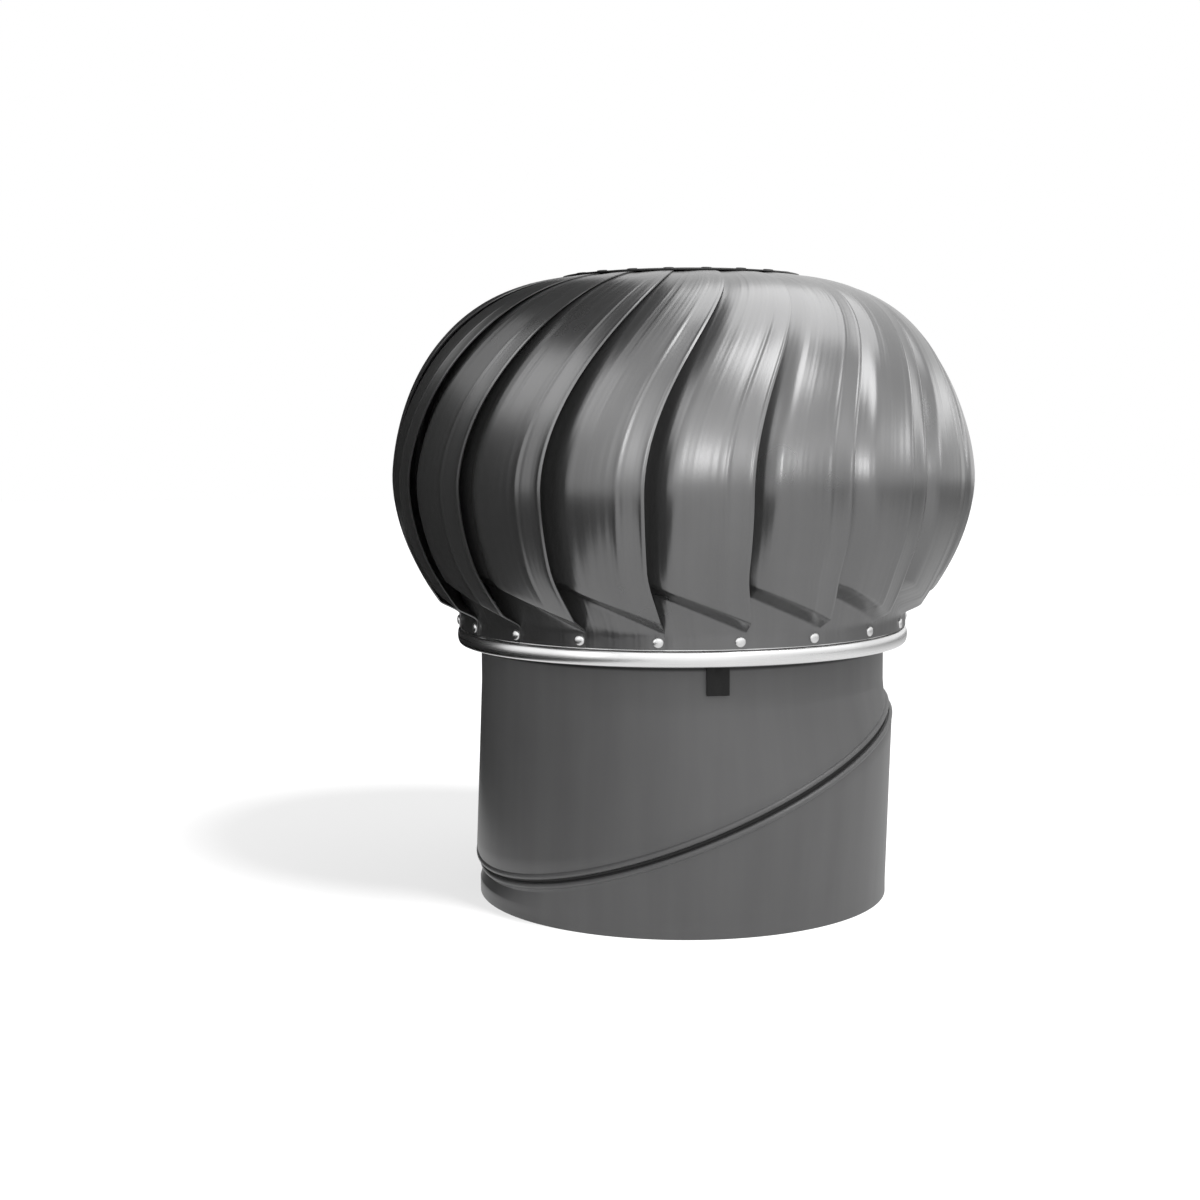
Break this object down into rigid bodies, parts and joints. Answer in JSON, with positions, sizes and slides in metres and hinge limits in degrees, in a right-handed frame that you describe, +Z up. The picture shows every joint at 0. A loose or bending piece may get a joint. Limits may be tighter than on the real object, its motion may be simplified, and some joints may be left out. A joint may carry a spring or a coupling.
{
  "type": "roof turbine ventilator",
  "caption": "Wind-driven roof turbine ventilator: a domed head of curved overlapping vanes spins on ball bearings above a round throat with a swivelling oblique seam.",
  "frame": {"origin": "centre of the throat's bottom rim", "axes": "+Z up along the throat and the head's spin axis, -Y to the front"},
  "size_m": [0.4222, 0.4227, 0.455],
  "materials": {
    "grey_sheet": "satin dark grey coating",
    "vane_sheet": "semi-gloss dark grey coating",
    "mill_aluminium": "mill finish, rolled",
    "rivet_aluminium": "bright domed heads",
    "cast_aluminium": "turned and bead blasted",
    "zinc_steel": "zinc plated",
    "bright_steel": "ground",
    "bearing_steel": "polished",
    "black_steel": "black spring steel",
    "cage_plastic": "moulded nylon",
    "black_plastic": "moulded black nylon"
  },
  "bodies": {
    "base": {"lower_throat": "grey_sheet"},
    "neck": {"upper_throat": "grey_sheet", "rim_clip_1": "black_plastic", "rim_clip_2": "black_plastic", "rim_clip_3": "black_plastic", "clip_bolts": "zinc_steel", "upper_bracket": "zinc_steel", "lower_bracket": "zinc_steel", "strut_bolts": "zinc_steel", "shaft": "bright_steel", "shaft_washers": "zinc_steel", "shaft_nuts": "zinc_steel", "journal_nut": "zinc_steel", "shaft_circlips": "black_steel", "upper_inner_race": "bearing_steel", "lower_inner_race": "bearing_steel"},
    "rotor": {"vane_01": "vane_sheet", "vane_02": "vane_sheet", "vane_03": "vane_sheet", "vane_04": "vane_sheet", "vane_05": "vane_sheet", "vane_06": "vane_sheet", "vane_07": "vane_sheet", "vane_08": "vane_sheet", "vane_09": "vane_sheet", "vane_10": "vane_sheet", "vane_11": "vane_sheet", "vane_12": "vane_sheet", "vane_13": "vane_sheet", "vane_14": "vane_sheet", "vane_15": "vane_sheet", "vane_16": "vane_sheet", "vane_17": "vane_sheet", "vane_18": "vane_sheet", "vane_19": "vane_sheet", "vane_ring": "mill_aluminium", "foot_rivets": "rivet_aluminium", "top_plate": "grey_sheet", "top_rivets": "grey_sheet", "dust_cap": "black_plastic", "upper_housing": "cast_aluminium", "lower_housing": "cast_aluminium", "upper_circlip": "black_steel", "lower_circlip": "black_steel", "rotor_brace": "mill_aluminium", "brace_bolts": "zinc_steel", "housing_rivets": "rivet_aluminium", "upper_outer_race": "bearing_steel", "lower_outer_race": "bearing_steel"},
    "upper_rollers": {"upper_balls": "bearing_steel", "upper_cage": "cage_plastic"},
    "lower_rollers": {"lower_balls": "bearing_steel", "lower_cage": "cage_plastic"}
  },
  "joints": [
    {"name": "roof_pitch", "type": "hinge", "parent": "base", "child": "neck", "pos_m": [0, 0, 0.084], "axis": [-0.3542, -0.122, 0.9272], "continuous": true},
    {"name": "head_spin", "type": "hinge", "parent": "neck", "child": "rotor", "pos_m": [0, 0, 0.3], "axis": [0, 0, 1], "continuous": true},
    {"name": "upper_roller_spin", "type": "hinge", "parent": "neck", "child": "upper_rollers", "pos_m": [0, 0, 0.4345], "axis": [0, 0, 1], "continuous": true},
    {"name": "lower_roller_spin", "type": "hinge", "parent": "neck", "child": "lower_rollers", "pos_m": [0, 0, 0.207], "axis": [0, 0, 1], "continuous": true}
  ],
  "couplings": [
    {"joint": "upper_roller_spin", "follows": "head_spin", "ratio": 0.619},
    {"joint": "lower_roller_spin", "follows": "head_spin", "ratio": 0.6082}
  ]
}
